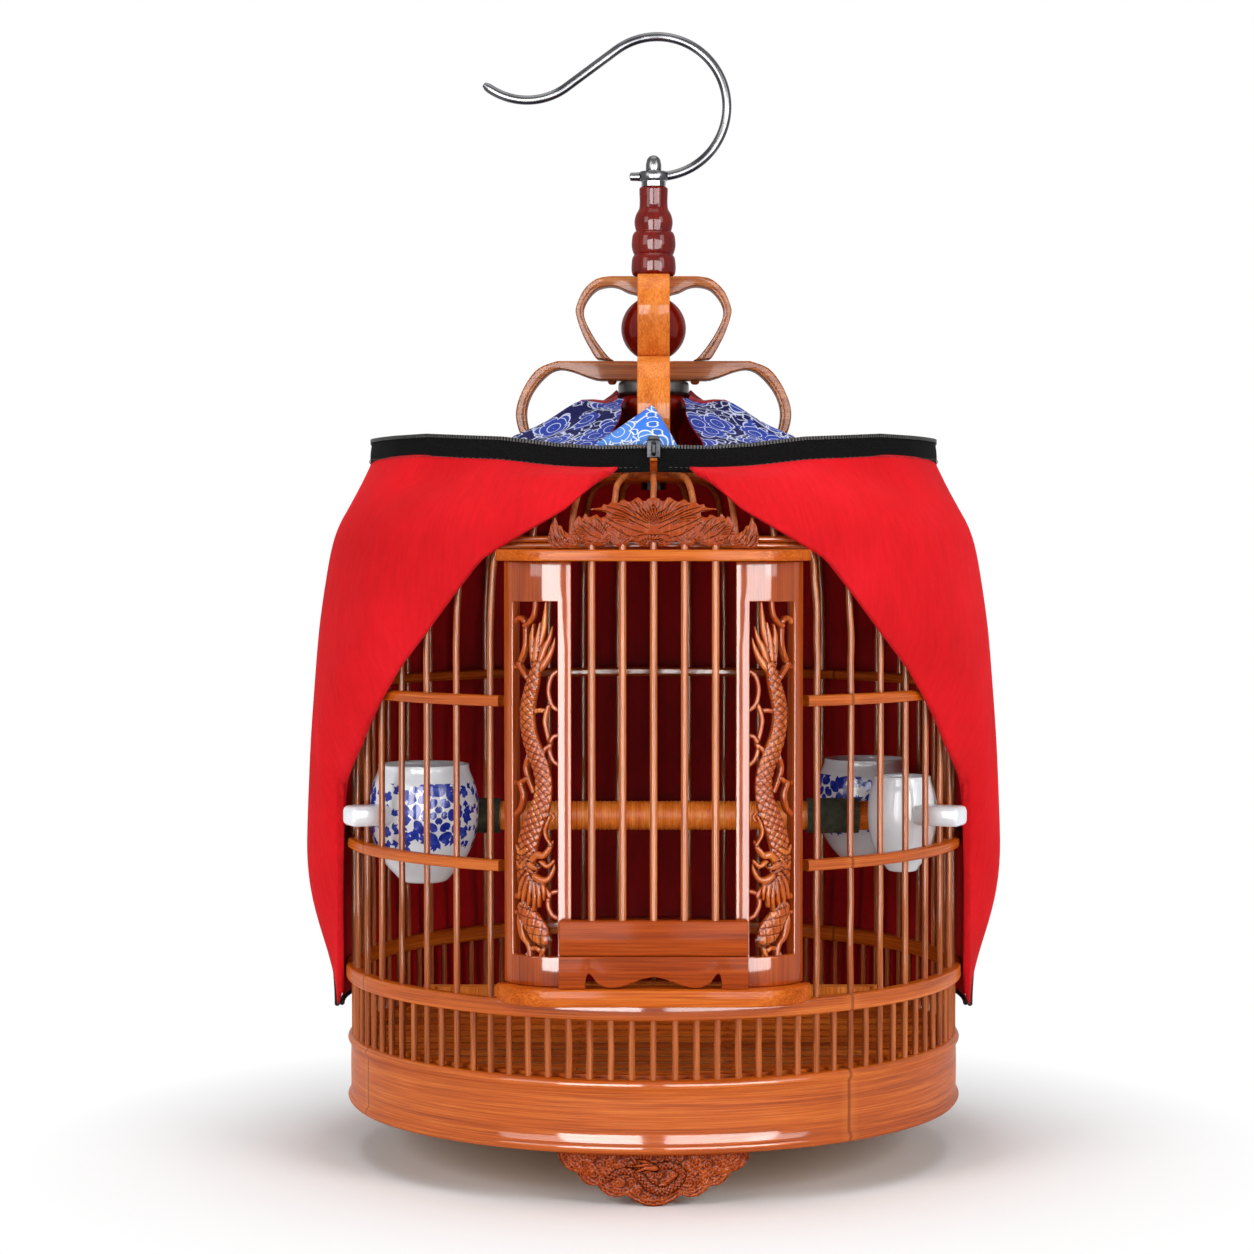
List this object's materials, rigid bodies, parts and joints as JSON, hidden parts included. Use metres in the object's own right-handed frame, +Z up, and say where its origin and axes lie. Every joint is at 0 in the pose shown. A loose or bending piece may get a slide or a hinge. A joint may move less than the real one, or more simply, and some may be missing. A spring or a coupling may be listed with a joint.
{
  "type": "bamboo bird cage",
  "caption": "Round bamboo bird cage with a domed top, carved front portal, lift-up door, perch, porcelain cups, swivelling steel hook and a zipped cloth cover folded open.",
  "frame": {"origin": "on the floor under the cage's axis, midway between the front of the portal and the back of the cover", "axes": "+Z up, the door faces -Y, +X to the right of someone who looks at the door"},
  "size_m": [0.3626, 0.356, 0.5998],
  "materials": {
    "bamboo": "varnished bamboo, gloss",
    "bar_bamboo": "varnished round bamboo splints",
    "carved_bamboo": "carved and varnished bamboo",
    "board_wood": "sealed plywood",
    "red_lacquer": "clear lacquered dark red wood",
    "black_wood": "black stained wood",
    "steel": "polished steel wire",
    "perch_wood": "thread wrapped wood",
    "grit_sleeve": "gritted sleeve",
    "porcelain": "glazed white porcelain with a blue floral pattern",
    "red_lining": "matt red lining",
    "blue_print": "blue and white floral print",
    "zip_cloth": "black woven tape",
    "zip_metal": "black enamelled metal"
  },
  "bodies": {
    "cage": {"base_rim": "bamboo", "foot_front": "carved_bamboo", "foot_back_right": "carved_bamboo", "foot_back_left": "carved_bamboo", "floor_grate": "bamboo", "ring_lower": "bamboo", "ring_middle": "bamboo", "ring_upper": "bamboo", "shoulder_hoop": "bamboo", "lower_bars_1": "bar_bamboo", "lower_bars_2": "bar_bamboo", "lower_bars_3": "bar_bamboo", "lower_bars_4": "bar_bamboo", "wall_bars_1": "bar_bamboo", "wall_bars_2": "bar_bamboo", "wall_bars_3": "bar_bamboo", "wall_bars_4": "bar_bamboo", "wall_bars_5": "bar_bamboo", "wall_bars_6": "bar_bamboo", "dome_ribs_1": "bar_bamboo", "dome_ribs_2": "bar_bamboo", "dome_ribs_3": "bar_bamboo", "dome_ribs_4": "bar_bamboo", "top_board": "bamboo", "portal_sill": "bamboo", "portal_top_rail": "bamboo", "portal_panel_left": "carved_bamboo", "portal_panel_right": "carved_bamboo", "door_threshold": "bamboo", "floor_beam": "bamboo", "neck_bead": "red_lacquer", "crown_collar": "black_wood", "lower_strip_across": "bamboo", "lower_strip_front_to_back": "bamboo", "upper_strip_across": "bamboo", "upper_strip_front_to_back": "bamboo", "crown_ball": "red_lacquer", "handle": "red_lacquer", "hook_washer": "steel", "tie_rod": "steel", "hook_nut": "steel", "perch": "perch_wood", "perch_sleeve_left": "grit_sleeve", "perch_sleeve_right": "grit_sleeve", "cover_body": "red_lining", "cover_flap_left": "red_lining", "cover_flap_right": "red_lining", "zip_tape_left": "zip_cloth", "zip_tape_right": "zip_cloth", "zip_slider": "zip_metal"},
    "door": {"door_crest": "carved_bamboo", "door_grille": "bamboo"},
    "hook": {"hook": "steel"},
    "bottom_board": {"bottom_board": "board_wood"},
    "cup_left": {"cup_left": "porcelain"},
    "cup_right_back": {"cup_right_back": "porcelain"},
    "cup_right_front": {"cup_right_front": "porcelain"},
    "zip_pull": {"zip_pull": "zip_cloth"}
  },
  "joints": [
    {"name": "door_slide", "type": "slide", "parent": "cage", "child": "door", "axis": [0, 0, 1], "range_m": [0, 0.172]},
    {"name": "hook_swivel", "type": "hinge", "parent": "cage", "child": "hook", "pos_m": [0, 0, 0.5227], "axis": [0, 0, 1], "continuous": true},
    {"name": "board_drop", "type": "slide", "parent": "cage", "child": "bottom_board", "axis": [0, 0, -1], "range_m": [0, 0.025]},
    {"name": "cup_left_slide", "type": "slide", "parent": "cage", "child": "cup_left", "axis": [0.8969, 0.4423, 0], "range_m": [0, 0.012]},
    {"name": "cup_right_back_slide", "type": "slide", "parent": "cage", "child": "cup_right_back", "axis": [-0.9469, -0.3214, 0], "range_m": [0, 0.006]},
    {"name": "cup_right_front_slide", "type": "slide", "parent": "cage", "child": "cup_right_front", "axis": [-0.8969, 0.4423, 0], "range_m": [0, 0.012]},
    {"name": "zip_pull_hinge", "type": "hinge", "parent": "cage", "child": "zip_pull", "pos_m": [0, -0.1139, 0.3791], "axis": [1, 0, 0], "range_deg": [0, 150]}
  ]
}
